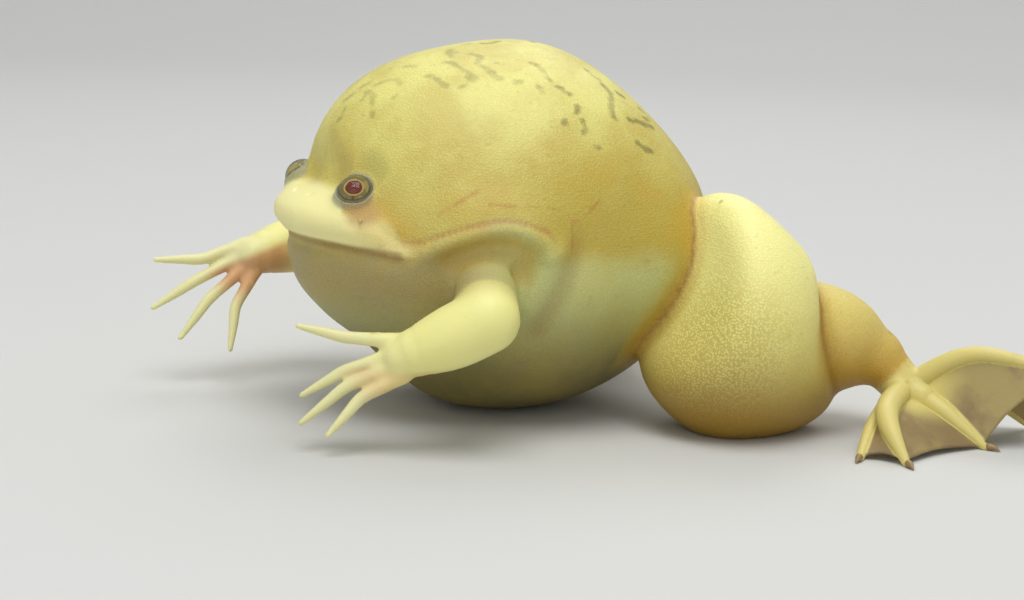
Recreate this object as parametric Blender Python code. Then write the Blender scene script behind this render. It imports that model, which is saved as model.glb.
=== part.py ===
"""African clawed frog, a large pale female swollen with fluid, at rest on its belly, thighs and toes.

The frog faces -X and its left side is -Y. Sizes are in millimetres of a frog whose belly touches z = 0 below
x = 0, y = 0, and the finished part is moved so that the middle of its box is over the origin.
"""

import math

import bmesh
import bpy
from mathutils import Matrix, Vector
from mathutils.bvhtree import BVHTree

MM = 0.001
GAP = 0.3
LEFT, RIGHT = -1, 1

# Body: one swollen ball, with the snout and the jaws standing out in front of it.
BALL_CENTRE = (0.0, 0.0, 43.0)
BALL_SIZE = (50.0, 42.5, 43.8)
FACE_PLANE_X = -33.0
FACE_PLANE_LEAN = math.radians(-12)
MOUTH_HEIGHT = 42.3
MOUTH_CORNER_DROP = 1.5
MOUTH_SPREAD = math.radians(66)
MOUTH_HALF_GAP = 0.5

# Where the surface of the ball needs small triangles: each a centre and how far the need reaches from it.
FINE_AREAS = [
    ((-46, 0, 48), 27),
    ((-52, 0, 46), 18),
    ((-20, -38, 44), 22),
    ((-20, 38, 44), 22),
]

SNOUT_CENTRE = (-29.8, 0.0, 47.2)
SNOUT_SIZE = (27.0, 27.5)
SNOUT_ABOVE, SNOUT_BELOW = 8.2, 5.7

# Eyes: small, set on top of the head and looking out, forwards and a little up.
EYE_CENTRE = (-45.5, 15.3, 53.2)
EYE_LOOK = (-0.37, 0.52, 0.77)
EYE_RADIUS = 4.3
LID_RADIUS = 4.1
LID_THICKNESS = 0.7

# Limb thicknesses, as radii.
SHOULDER, ELBOW, FOREARM, WRIST = 6.9, 7.2, 7.0, 5.3
PALM_SIZE = (3.8, 5.8, 3.2)
FINGER_ROOT, FINGER_TIP, FINGER_SPACING = 2.1, 0.65, 2.5
TOE_ROOT, TOE_TIP = 2.6, 0.95
TOE_MIDDLES = (1.8, 2.6, 2.4, 1.9, 1.7)
WEB_THICKNESS = 0.6
CLAW_LENGTH = 2.6
CLAWED_TOES = 3

SKIN_GOLD = (0.72, 0.58, 0.20)
SKIN_PALE = (0.80, 0.75, 0.45)
SKIN_BELLY = (0.55, 0.53, 0.34)
EYE_RED = (0.36, 0.16, 0.11)
CLAW_HORN = (0.50, 0.42, 0.28)


def clear_scene():
    for old in list(bpy.data.objects):
        bpy.data.objects.remove(old, do_unlink=True)


def material(name, colour, roughness):
    made = bpy.data.materials.new(name)
    made.use_nodes = True
    shader = made.node_tree.nodes["Principled BSDF"]
    shader.inputs["Base Color"].default_value = (*colour, 1.0)
    shader.inputs["Roughness"].default_value = roughness
    shader.inputs["Metallic"].default_value = 0.0
    return made


def side_of(point, side):
    """A point given for the right side, or its mirror image on the left one."""
    return Vector((point[0], side * abs(point[1]), point[2]))


def object_from(shape, name="piece"):
    mesh = bpy.data.meshes.new(name)
    shape.to_mesh(mesh)
    shape.free()
    made = bpy.data.objects.new(name, mesh)
    bpy.context.scene.collection.objects.link(made)
    return made


def evaluated(thing):
    """The object's mesh with its modifiers applied, as a bmesh. The object is then removed."""
    bpy.context.view_layer.update()
    graph = bpy.context.evaluated_depsgraph_get()
    mesh = bpy.data.meshes.new_from_object(thing.evaluated_get(graph))
    shape = bmesh.new()
    shape.from_mesh(mesh)
    bpy.data.objects.remove(thing, do_unlink=True)
    bpy.data.meshes.remove(mesh)
    return shape


def simplified(shape, share):
    """The shape with about that share of its triangles left, the fewest where it is flattest."""
    thing = object_from(shape)
    fewer = thing.modifiers.new("fewer", "DECIMATE")
    fewer.ratio = share
    return evaluated(thing)


def volume_of(faces):
    total = 0.0
    for face in faces:
        first, *rest = [loop.vert.co for loop in face.loops]
        for second, third in zip(rest, rest[1:]):
            total += first.dot(second.cross(third)) / 6
    return total


def keep_largest(shape):
    """Keeps the largest closed surface and drops loose scraps and sealed hollows."""
    unseen = set(shape.faces)
    islands = []
    while unseen:
        island, edge = set(), [unseen.pop()]
        while edge:
            face = edge.pop()
            island.add(face)
            for side in face.edges:
                for other in side.link_faces:
                    if other in unseen:
                        unseen.remove(other)
                        edge.append(other)
        islands.append(island)
    islands.sort(key=volume_of, reverse=True)
    scraps = [face for island in islands[1:] for face in island]
    if scraps:
        bmesh.ops.delete(shape, geom=scraps, context="FACES")
    return shape


def combined(base, others, operation, solver="EXACT"):
    """The base shape with the others joined to it or cut out of it by one Boolean."""
    body = object_from(base, "body")
    group = bpy.data.collections.new("pieces")
    bpy.context.scene.collection.children.link(group)
    helpers = []
    for other in others:
        helper = object_from(other, "helper")
        bpy.context.scene.collection.objects.unlink(helper)
        group.objects.link(helper)
        helpers.append(helper)
    change = body.modifiers.new("change", "BOOLEAN")
    change.operand_type = "COLLECTION"
    change.collection = group
    change.operation = operation
    change.solver = solver
    shape = evaluated(body)
    for helper in helpers:
        bpy.data.objects.remove(helper, do_unlink=True)
    bpy.data.collections.remove(group)
    bmesh.ops.remove_doubles(shape, verts=shape.verts, dist=0.00002)
    bmesh.ops.triangulate(shape, faces=shape.faces)
    return keep_largest(shape)


def fused(pieces):
    return combined(pieces[0], pieces[1:], "UNION", "MANIFOLD")


def without(shape, *cutters):
    return combined(shape, cutters, "DIFFERENCE", "MANIFOLD")


def grown(shape, amount=GAP):
    """A copy of the shape, thicker by the amount all round, to cut a neighbour clear of it."""
    copy = shape.copy()
    copy.normal_update()
    for vert in copy.verts:
        vert.co += vert.normal * amount * MM
    return copy


def ellipsoid(centre, size, subdivisions=3, turn=None):
    shape = bmesh.new()
    bmesh.ops.create_icosphere(shape, subdivisions=subdivisions, radius=1.0)
    place = Matrix.Translation(Vector(centre) * MM)
    if turn:
        place @= turn.to_4x4()
    place @= Matrix.Diagonal((*[s * MM for s in size], 1.0))
    bmesh.ops.transform(shape, matrix=place, verts=shape.verts)
    return shape


def swell(shape, centre, reach, push):
    """Moves the surface near the centre by up to the push, fading smoothly to nothing at the reach."""
    middle = Vector(centre) * MM
    for vert in shape.verts:
        away = vert.co - middle
        share = sum((part / (far * MM)) ** 2 for part, far in zip(away, reach))
        if share < 1:
            vert.co += Vector(push) * MM * (1 - share) ** 2
    return shape


def smooth_path(stops, steps):
    """Points and radii along a smooth curve through the stops, each a point followed by its radius."""
    padded = [stops[0], *stops, stops[-1]]
    path = []
    for i in range(1, len(padded) - 2):
        before, start, end, after = [Vector(stop) for stop in padded[i - 1 : i + 3]]
        for step in range(steps):
            t = step / steps
            path.append(
                (
                    2 * start
                    + (end - before) * t
                    + (2 * before - 5 * start + 4 * end - after) * t**2
                    + (3 * start - before - 3 * end + after) * t**3
                )
                / 2
            )
    path.append(Vector(stops[-1]))
    return path


def limb(stops, steps=4, roundness=4):
    """A closed tube through the stops (x, y, z, radius), with both ends rounded."""
    path = smooth_path([(*stop[0], stop[1]) for stop in stops], steps)
    rows = [(Vector(row[:3]), row[3]) for row in path]

    turns = (35, 65, 90) if roundness > 2 else (50, 90)

    def dome(end, inner):
        """Rows that round off an end: they reach past it by its own radius."""
        point, radius = end
        outward = (point - inner[0]).normalized()
        return [
            (point + outward * radius * math.sin(turn), radius * max(math.cos(turn), 0.04))
            for turn in map(math.radians, turns)
        ]

    rows = dome(rows[0], rows[1])[::-1] + rows + dome(rows[-1], rows[-2])
    curve = bpy.data.curves.new("tube", "CURVE")
    curve.dimensions = "3D"
    curve.bevel_depth = 1.0
    curve.bevel_resolution = roundness
    curve.use_fill_caps = True
    line = curve.splines.new("POLY")
    line.points.add(len(rows) - 1)
    for spot, (point, radius) in zip(line.points, rows):
        spot.co = (*(point * MM), 1.0)
        spot.radius = radius * MM
    tube = bpy.data.objects.new("tube", curve)
    bpy.context.scene.collection.objects.link(tube)
    shape = evaluated(tube)
    bpy.data.curves.remove(curve)
    bmesh.ops.remove_doubles(shape, verts=shape.verts, dist=0.00001)
    bmesh.ops.recalc_face_normals(shape, faces=shape.faces)
    bmesh.ops.triangulate(shape, faces=shape.faces)
    return shape


def side_kept(shape, point, normal):
    """The part of the shape on the far side of a plane, with its cut face filled."""
    geometry = [*shape.verts, *shape.edges, *shape.faces]
    bmesh.ops.bisect_plane(
        shape,
        geom=geometry,
        dist=0.000001,
        plane_co=Vector(point) * MM,
        plane_no=Vector(normal),
        clear_inner=True,
    )
    rim = [edge for edge in shape.edges if edge.is_boundary]
    bmesh.ops.holes_fill(shape, edges=rim)
    bmesh.ops.triangulate(shape, faces=shape.faces)
    bmesh.ops.recalc_face_normals(shape, faces=shape.faces)
    return keep_largest(shape)


def parted(shape, point, normal):
    """The two parts that a thin flat cut leaves: the one behind the plane, then the one before it."""
    along = Vector(normal).normalized()
    half = along * GAP / 2
    back = side_kept(shape.copy(), Vector(point) - half, -along)
    front = side_kept(shape, Vector(point) + half, along)
    return back, front


def on_floor(shape):
    """Cuts the shape flat where it rests, at z = 0."""
    if min(vert.co.z for vert in shape.verts) < 0:
        return side_kept(shape, (0, 0, 0), (0, 0, 1))
    return shape


def ball():
    """The swollen trunk: fuller over the forehead and at the throat, and flatter over the rump."""
    shape = bmesh.new()
    bmesh.ops.create_icosphere(shape, subdivisions=4, radius=1.0)
    centre, size = Vector(BALL_CENTRE), Vector(BALL_SIZE)
    for middle, reach in FINE_AREAS:
        near = {v for v in shape.verts if (v.co * size + centre - Vector(middle)).length < reach}
        edges = [edge for edge in shape.edges if near.issuperset(edge.verts)]
        bmesh.ops.subdivide_edges(shape, edges=edges, cuts=1, use_grid_fill=True)
        bmesh.ops.triangulate(shape, faces=shape.faces)
        for vert in shape.verts:
            vert.co.normalize()
    for vert in shape.verts:
        vert.co = (vert.co * size + centre) * MM
    swell(shape, (-40, 0, 76), (34, 46, 30), (-3.0, 0, 2.0))
    swell(shape, (44, 0, 78), (44, 54, 36), (-3.3, 0, -4.1))
    swell(shape, (-50, 0, 39), (30, 36, 16), (-3.6, 0, 0))
    swell(shape, (-54, 0, 60), (13, 13, 11), (3.0, 0, -0.6))
    swell(shape, (-42, 0, 10), (30, 44, 24), (3.6, 0, 2.6))
    swell(shape, (-44, 0, 24), (20, 40, 15), (-1.7, 0, -0.9))
    swell(shape, (34, 0, 22), (36, 50, 30), (1.0, 0, 0.6))
    for side in (LEFT, RIGHT):
        # The head is hollow beside each eye, so that the eye stands out.
        swell(shape, (-51, side * 8, 56), (10, 9, 10), (2.6, 0, -0.8))
        # A fold of the flank hangs over the shoulder, and the armpit lies hollow below it.
        swell(shape, (-24, side * 38, 49), (24, 18, 11), (0, side * 2.0, 0))
        swell(shape, (-22, side * 40, 38), (15, 16, 11), (0, side * -2.2, 0))
        swell(shape, (0, side * 42, 30), (14, 16, 16), (0, side * 2.0, 0))
        # The skin of the flank laps over the front of the thigh.
        swell(shape, (26, side * 36, 40), (20, 18, 26), (2.0, side * 4.0, 0))
    return shape


def upper_jaw():
    """The broad flat snout: it slopes down to a blunt upper lip that overhangs the mouth."""
    shape = bmesh.new()
    bmesh.ops.create_icosphere(shape, subdivisions=5, radius=1.0)
    for vert in shape.verts:
        x, y, z = vert.co
        tall = SNOUT_ABOVE * z**0.9 if z > 0 else -SNOUT_BELOW * abs(z) ** 0.6
        vert.co = (Vector((x * SNOUT_SIZE[0], y * SNOUT_SIZE[1], tall)) + Vector(SNOUT_CENTRE)) * MM
    for side in (LEFT, RIGHT):
        swell(shape, (-37, side * 24, 44), (18, 15, 12), (0, 0, -2.0))
    front = side_kept(shape, (-31, 0, 0), (-1, 0, 0))
    return simplified(front, 0.32)


def eye_axis(side):
    return side_of(EYE_LOOK, side).normalized()


def eye_seat(side):
    """The low mound of skin that each eye sits in."""
    centre = side_of(EYE_CENTRE, side) - eye_axis(side) * 1.0
    return ellipsoid(centre, (5.0, 5.0, 4.7), 3)


def lid(side):
    """The thin raised rim of skin round an eye."""
    axis = eye_axis(side)
    turn = axis.to_track_quat("Z", "Y").to_matrix().to_4x4()
    shape = bmesh.new()
    bmesh.ops.create_circle(shape, segments=6, radius=LID_THICKNESS * MM)
    profile = Matrix.Translation((LID_RADIUS * MM, 0, 0)) @ Matrix.Rotation(math.pi / 2, 4, "X")
    bmesh.ops.transform(shape, matrix=profile, verts=shape.verts)
    bmesh.ops.spin(
        shape,
        geom=[*shape.verts, *shape.edges],
        cent=(0, 0, 0),
        axis=(0, 0, 1),
        angle=2 * math.pi,
        steps=20,
        use_merge=True,
    )
    bmesh.ops.remove_doubles(shape, verts=shape.verts, dist=0.000001)
    bmesh.ops.recalc_face_normals(shape, faces=shape.faces)
    seat = side_of(EYE_CENTRE, side) + axis * 1.5
    bmesh.ops.transform(shape, matrix=Matrix.Translation(seat * MM) @ turn, verts=shape.verts)
    return shape


def feeler(side):
    """The short soft tentacle below an eye."""
    root = side_of((-46.0, 19.6, 48.4), side)
    return limb([(root, 0.8), (root + side_of((-1.2, 2.7, -0.2), side), 0.4)], 2, 1)


def surface_point(tree, start, direction):
    hit = tree.ray_cast(Vector(start) * MM, Vector(direction).normalized())[0]
    return hit / MM


def mouth_slit(face):
    """A thin tube along the line where the lips meet, found on the face itself."""
    tree = BVHTree.FromBMesh(face)
    stops = []
    for step in range(-9, 10):
        turn = MOUTH_SPREAD * step / 9
        height = MOUTH_HEIGHT - MOUTH_CORNER_DROP * (step / 9) ** 2
        outward = (-math.cos(turn), math.sin(turn), 0)
        stops.append((surface_point(tree, (-28, 0, height), outward), MOUTH_HALF_GAP))
    return limb(stops, 2, 2)


def nostril(face, side):
    """A small slanting slit near the tip of the snout."""
    tree = BVHTree.FromBMesh(face)
    spot = surface_point(tree, (-52.5, side * 4.2, 50), (-0.25, 0, 1))
    turn = Matrix.Rotation(side * math.radians(35), 3, "Z")
    return ellipsoid(spot, (1.1, 0.5, 0.9), 2, turn)


def whole_head():
    """The front of the ball with the jaws, eye seats, lids, feelers, mouth and nostrils."""
    pieces = [ball(), upper_jaw()] + [eye_seat(side) for side in (LEFT, RIGHT)]
    face = fused(pieces)
    soft = [vert for vert in face.verts if vert.co.x < -30 * MM and 45 * MM < vert.co.z < 66 * MM]
    for _ in range(4):
        bmesh.ops.smooth_vert(
            face, verts=soft, factor=0.5, use_axis_x=True, use_axis_y=True, use_axis_z=True
        )
    normal = (-math.cos(FACE_PLANE_LEAN), 0, math.sin(FACE_PLANE_LEAN))
    face = side_kept(face, face_plane_point(GAP / 2), normal)
    face = fused([face, *[lid(side) for side in (LEFT, RIGHT)], *[feeler(s) for s in (LEFT, RIGHT)]])
    cutters = [mouth_slit(face)]
    for side in (LEFT, RIGHT):
        cutters.append(nostril(face, side))
        cutters.append(ellipsoid(side_of(EYE_CENTRE, side), (EYE_RADIUS + GAP,) * 3, 3))
    return without(face, *cutters)


def face_plane_point(ahead):
    """A point on the flat cut between head and trunk, moved towards the snout."""
    return (FACE_PLANE_X - ahead, 0, BALL_CENTRE[2])


def trunk():
    normal = (math.cos(FACE_PLANE_LEAN), 0, -math.sin(FACE_PLANE_LEAN))
    return side_kept(ball(), face_plane_point(-GAP / 2), normal)


def eye(side):
    return ellipsoid(side_of(EYE_CENTRE, side), (EYE_RADIUS,) * 3, 3)


# Arms: the stops run from inside the shoulder to the wrist, and each finger from the palm to its tip.
ARMS = {
    LEFT: {
        "shoulder": (-20.0, -29.0, 40.0),
        "elbow": (-27.2, -45.6, 29.9),
        "forearm": (-34.0, -42.2, 25.8),
        "wrist": (-43.0, -37.5, 21.1),
        "palm": (-48.2, -35.0, 19.4),
        "fingers": [
            [(-53.2, -29.4, 24.6), (-61.8, -24.0, 26.4)],
            [(-53.6, -31.2, 17.5), (-61.7, -27.0, 11.8)],
            [(-54.0, -33.0, 14.4), (-63.0, -30.0, 6.4)],
            [(-51.8, -36.0, 12.4), (-59.2, -36.0, 4.9)],
        ],
    },
    RIGHT: {
        "shoulder": (-20.0, 29.0, 40.0),
        "elbow": (-26.6, 45.2, 33.3),
        "forearm": (-37.0, 43.4, 32.4),
        "wrist": (-48.2, 40.4, 30.9),
        "palm": (-53.4, 39.8, 28.3),
        "fingers": [
            [(-60.6, 42.6, 29.9), (-71.6, 45.0, 29.7)],
            [(-63.2, 41.6, 24.4), (-72.6, 43.0, 18.3)],
            [(-59.8, 39.2, 20.5), (-67.4, 38.0, 11.5)],
            [(-54.6, 37.0, 19.2), (-56.4, 33.0, 9.0)],
        ],
    },
}


def palm_turn(arm):
    """Turns the palm so that it lies along the hand and across the spread of the fingers."""
    along = (Vector(arm["fingers"][1][0]) - Vector(arm["wrist"])).normalized()
    spread = Vector(arm["fingers"][0][0]) - Vector(arm["fingers"][3][0])
    spread = (spread - along * spread.dot(along)).normalized()
    return Matrix((along, spread, along.cross(spread))).transposed()


def palm_middle(arm):
    return Vector(arm["wrist"]).lerp(Vector(arm["palm"]), 0.12)


def finger(arm, number):
    """A long cone. The four roots lie side by side across the palm."""
    middle, tip = [Vector(point) for point in arm["fingers"][number]]
    root = palm_middle(arm) + palm_turn(arm).col[1] * (1.5 - number) * FINGER_SPACING
    halfway = root.lerp(middle, 0.6)
    return limb([(root, FINGER_ROOT), (halfway, FINGER_ROOT * 0.85), (middle, 1.4), (tip, FINGER_TIP)], 2, 1)


def whole_arm(side, body):
    """The arm with its hand, cut clear of the trunk that it grows from."""
    arm = ARMS[side]
    shoulder, elbow = Vector(arm["shoulder"]), Vector(arm["elbow"])
    upper = [(shoulder, SHOULDER), (shoulder.lerp(elbow, 0.6), SHOULDER), (elbow, ELBOW)]
    forearm = Vector(arm["forearm"])
    start = elbow.lerp(forearm, 0.07)
    lower = [(start, ELBOW * 1.02), (forearm, FOREARM), (Vector(arm["wrist"]).lerp(forearm, 0.2), WRIST)]
    palm = ellipsoid(palm_middle(arm), PALM_SIZE, 3, palm_turn(arm))
    pieces = [limb(upper, 3, 4), limb(lower, 4, 4), palm]
    pieces += [finger(arm, number) for number in range(len(arm["fingers"]))]
    return without(fused(pieces), grown(body))


def arm_parts(side, body):
    """Upper arm, forearm and hand, parted by flat cuts at the elbow and the wrist."""
    arm = ARMS[side]
    elbow, forearm, wrist = [Vector(arm[stop]) for stop in ("elbow", "forearm", "wrist")]
    bend = (elbow - Vector(arm["shoulder"])).normalized() + (forearm - elbow).normalized()
    upper, rest = parted(whole_arm(side, body), elbow.lerp(forearm, 0.23), bend)
    lower, hand = parted(rest, wrist, wrist - forearm)
    return upper, lower, hand


# Hind legs: the thigh is a swollen bulb, the shank a short fat cone, and the foot a spread web.
THIGH_CENTRE = (36.8, 42.5, 27.0)
THIGH_SIZE = (20.2, 23.0, 29.0)
ANKLE = (74.2, 53.6, 15.4)
HEEL = (76.8, 57.5, 11.2)
TOES = [
    [(60.5, 68.0, 5.6), (51.6, 75.4, 0.7)],
    [(60.8, 72.0, 8.8), (58.4, 83.0, 0.7)],
    [(80.4, 67.8, 7.2), (85.6, 77.0, 0.7)],
    [(87.6, 69.5, 20.6), (102.5, 86.0, 17.8)],
    [(93.0, 60.5, 11.0), (110.0, 66.0, 0.7)],
]


def thigh(side, body):
    shape = ellipsoid(side_of(THIGH_CENTRE, side), THIGH_SIZE, 4)
    swell(shape, side_of((55, 46, 5), side), (24, 36, 24), (12.5, 0, -2.0))
    swell(shape, side_of((52, 44, 56), side), (24, 34, 20), (-4.0, 0, -1.6))
    swell(shape, side_of((58, 46, 32), side), (16, 34, 18), (-1.8, 0, 0))
    swell(shape, side_of((18, 42, 10), side), (18, 30, 16), (-2.4, 0, 0.8))
    swell(shape, side_of((16, 46, 38), side), (20, 28, 30), (9.0, 0, 0))
    return without(shape, grown(body))


def shank(side, leg):
    shape = limb(
        [
            (side_of((46, 44.0, 23.5), side), 13.4),
            (side_of((60, 46.5, 21.0), side), 13.1),
            (side_of((67, 49.0, 19.3), side), 11.1),
            (side_of((72, 52.0, 17.4), side), 7.1),
        ],
        4,
        5,
    )
    return without(shape, grown(leg))


def toe_line(side, number):
    middle, tip = [side_of(point, side) for point in TOES[number]]
    heel = side_of(HEEL, side)
    return [heel.lerp(middle, 0.12), middle, tip]


def toe(side, number):
    root, middle, tip = toe_line(side, number)
    return limb([(root, TOE_ROOT), (middle, TOE_MIDDLES[number]), (tip, TOE_TIP)], 3, 1)


def web(side, number, across=3, along=5):
    """The thin skin between two toes, hollowed at its free edge."""
    near = smooth_path([(*p, 0) for p in toe_line(side, number)], along)
    far = smooth_path([(*p, 0) for p in toe_line(side, number + 1)], along)

    def line_at(path, share):
        spot = min(share, 0.9999) * (len(path) - 1)
        first = int(spot)
        return path[first].lerp(path[first + 1], spot - first).to_3d()

    shape = bmesh.new()
    bmesh.ops.create_grid(shape, x_segments=along, y_segments=across, size=0.5)
    bmesh.ops.triangulate(shape, faces=shape.faces)
    for vert in shape.verts:
        out, over = vert.co.x + 0.5, vert.co.y + 0.5
        reach = out * (0.95 - 0.09 * math.sin(math.pi * over))
        point = line_at(near, reach).lerp(line_at(far, reach), over)
        sag = 0.9 * math.sin(math.pi * over) * math.sin(math.pi * min(out, 0.8))
        vert.co = (point - Vector((0, 0, sag))) * MM
    shape.normal_update()
    normals = {vert.index: vert.normal.copy() for vert in shape.verts}
    flat = list(shape.verts)
    made = bmesh.ops.extrude_face_region(shape, geom=list(shape.faces))
    lifted = [item for item in made["geom"] if isinstance(item, bmesh.types.BMVert)]
    nearest = {tuple(round(c, 9) for c in vert.co): normals[vert.index] for vert in flat}
    for vert in lifted:
        vert.co += nearest[tuple(round(c, 9) for c in vert.co)] * WEB_THICKNESS * MM
    bmesh.ops.recalc_face_normals(shape, faces=shape.faces)
    bmesh.ops.triangulate(shape, faces=shape.faces)
    return shape


def foot(side, leg):
    """The instep, five toes and the webs between them."""
    ankle, heel = side_of(ANKLE, side), side_of(HEEL, side)
    instep = limb(
        [
            (ankle.lerp(heel, -0.4), 6.0),
            (heel, 5.2),
            (heel.lerp(side_of(TOES[2][0], side), 0.45), 3.6),
        ],
        4,
        4,
    )
    pieces = [instep] + [toe(side, number) for number in range(len(TOES))]
    pieces += [web(side, number) for number in range(len(TOES) - 1)]
    return without(fused(pieces), grown(leg))


def claw(side, number):
    """A short horny cone on the tip of one of the three inner toes."""
    middle, tip = [side_of(point, side) for point in TOES[number]]
    ahead = (tip - middle).normalized()
    ahead.z = 0
    root = tip + ahead.normalized() * (TOE_TIP + GAP + 0.3)
    root.z = TOE_TIP
    shape = bmesh.new()
    bmesh.ops.create_cone(
        shape,
        cap_ends=True,
        cap_tris=True,
        segments=8,
        radius1=TOE_TIP * 0.85 * MM,
        radius2=0.15 * MM,
        depth=CLAW_LENGTH * MM,
    )
    turn = ahead.to_track_quat("Z", "Y").to_matrix().to_4x4()
    middle_of = root + ahead.normalized() * CLAW_LENGTH / 2
    bmesh.ops.transform(shape, matrix=Matrix.Translation(middle_of * MM) @ turn, verts=shape.verts)
    return shape


def place(nodes):
    """Moves the finished nodes together, so that the middle of their box is over the origin."""
    corners = [vert.co for made in nodes for vert in made.data.vertices]
    low = Vector(min(co[axis] for co in corners) for axis in range(3))
    high = Vector(max(co[axis] for co in corners) for axis in range(3))
    shift = Matrix.Translation((-(low.x + high.x) / 2, -(low.y + high.y) / 2, -low.z))
    for made in nodes:
        made.data.transform(shift)


def main():
    clear_scene()
    gold = material("skin_gold", SKIN_GOLD, 0.45)
    pale = material("skin_pale", SKIN_PALE, 0.4)
    belly = material("skin_belly", SKIN_BELLY, 0.5)
    red = material("eye_red", EYE_RED, 0.1)
    horn = material("claw_horn", CLAW_HORN, 0.35)
    nodes = []

    def node(name, shape, finish, rests=False):
        made = object_from(on_floor(shape) if rests else shape, name)
        made.data.materials.append(finish)
        made.data.shade_smooth()
        made.data.set_sharp_from_angle(angle=math.radians(40))
        nodes.append(made)

    body = trunk()
    full_body = ball()
    node("head", whole_head(), pale)
    for side, word in ((LEFT, "left"), (RIGHT, "right")):
        node(f"eye_{word}", eye(side), red)
        for part, shape in zip(("upper_arm", "forearm", "hand"), arm_parts(side, full_body)):
            node(f"{part}_{word}", shape, pale)
        leg = thigh(side, full_body)
        calf = shank(side, leg)
        node(f"foot_{word}", foot(side, calf), pale, rests=True)
        node(f"shank_{word}", calf, gold)
        node(f"thigh_{word}", leg, gold, rests=True)
        for number in range(CLAWED_TOES):
            node(f"claw_{word}_{number + 1}", claw(side, number), horn, rests=True)
    node("torso", body, belly, rests=True)
    full_body.free()
    place(nodes)


main()
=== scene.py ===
"""The looks of a pale, swollen African clawed frog at rest, with its floor, lights and camera.

Body sizes are in millimetres of a frog whose belly touches z = 0 below x = 0, y = 0. It faces -X, and its
left side is -Y. ORIGIN moves them to where the frame's own eyes say that this frog lies.
"""

import math
import random

import bmesh
import bpy
import numpy as np
from mathutils import Matrix, Vector
from mathutils.bvhtree import BVHTree


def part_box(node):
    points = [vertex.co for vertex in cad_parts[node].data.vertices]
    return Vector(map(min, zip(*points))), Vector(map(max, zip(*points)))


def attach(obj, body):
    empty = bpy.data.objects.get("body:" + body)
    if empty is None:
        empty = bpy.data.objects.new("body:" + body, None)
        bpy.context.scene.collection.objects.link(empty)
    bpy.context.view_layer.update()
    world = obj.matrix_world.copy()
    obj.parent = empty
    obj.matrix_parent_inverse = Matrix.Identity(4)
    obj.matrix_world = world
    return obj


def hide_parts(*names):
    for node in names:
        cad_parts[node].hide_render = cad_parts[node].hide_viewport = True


bl_info = {
    "name": "Clawed Frog Looks",
    "version": (1, 0, 0),
    "blender": (4, 5, 0),
    "location": "3D View > Sidebar > Frog",
    "description": "Builds the skin, eyes, claws and studio of a still clawed frog",
    "category": "Object",
}

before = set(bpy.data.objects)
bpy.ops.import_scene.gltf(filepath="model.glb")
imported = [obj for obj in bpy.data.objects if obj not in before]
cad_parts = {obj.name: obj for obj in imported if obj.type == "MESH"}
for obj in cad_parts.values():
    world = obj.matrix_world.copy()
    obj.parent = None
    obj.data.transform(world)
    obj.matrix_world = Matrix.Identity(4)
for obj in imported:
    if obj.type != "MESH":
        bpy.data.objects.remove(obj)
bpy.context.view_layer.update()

MM = 0.001

# Cell sizes of the skin's surface on the body and on the hands, how near points are merged, how sharp a fold
# is smoothed, and the distance that stands for anything farther.
BODY_VOXEL, FINE_VOXEL = 1.0, 0.42
WELD = 0.02
CREASE_ANGLE = -0.25
FAR = 9.0

LEFT, RIGHT = -1, 1
BOTH = (LEFT, RIGHT)
SIDES = {"left": LEFT, "right": RIGHT}

# Body: one swollen ball, with the snout standing out in front of it and finer skin round FACE_CENTRE.
BALL_CENTRE = (0.0, 0.0, 43.0)
BALL_SIZE = (50.0, 42.5, 43.8)
SNOUT_CENTRE = (-29.8, 0.0, 47.2)
SNOUT_SIZE = (27.0, 27.5)
SNOUT_ABOVE, SNOUT_BELOW = 8.2, 5.7
MOUTH_HEIGHT = 42.3
MOUTH_CORNER_DROP = 1.5
MOUTH_SPREAD = math.radians(66)
FACE_CENTRE = (-50, 0, 49)

# Eyes: small, set on top of the head and looking out, forwards and a little up. Each lies in a pit with a
# thin rim, above a spot of thin skin.
EYE_CENTRE = (-45.5, 15.3, 53.2)
EYE_LOOK = (-0.37, 0.52, 0.77)
EYE_RIM, EYE_PIT, PIT_DEPTH = 4.2, 4.0, 4.4
BELOW_EYE = (-45.8, 20.2, 49.8)

# Limb thicknesses as radii, for each finger from its root to its tip, and the half sizes of the palms.
SHOULDER, ELBOW, FOREARM, WRIST, WRIST_FRONT = 6.9, 7.2, 7.0, 5.3, 4.4
PALM_SIZES = {LEFT: (3.8, 5.8, 3.2), RIGHT: (3.8, 4.4, 3.1)}
FINGER_SPACING = {LEFT: 2.5, RIGHT: 2.1}
FINGER_RADII = (2.1, 1.47, 1.4, 1.15, 0.65)
TOE_ROOT, TOE_TIP = 2.6, 0.95
TOE_MIDDLES = (1.8, 2.6, 2.4, 1.9, 1.7)
WEB_THICKNESS = 0.6
LONG_EDGE = 0.9
CLAWED_TOES = 3

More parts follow.
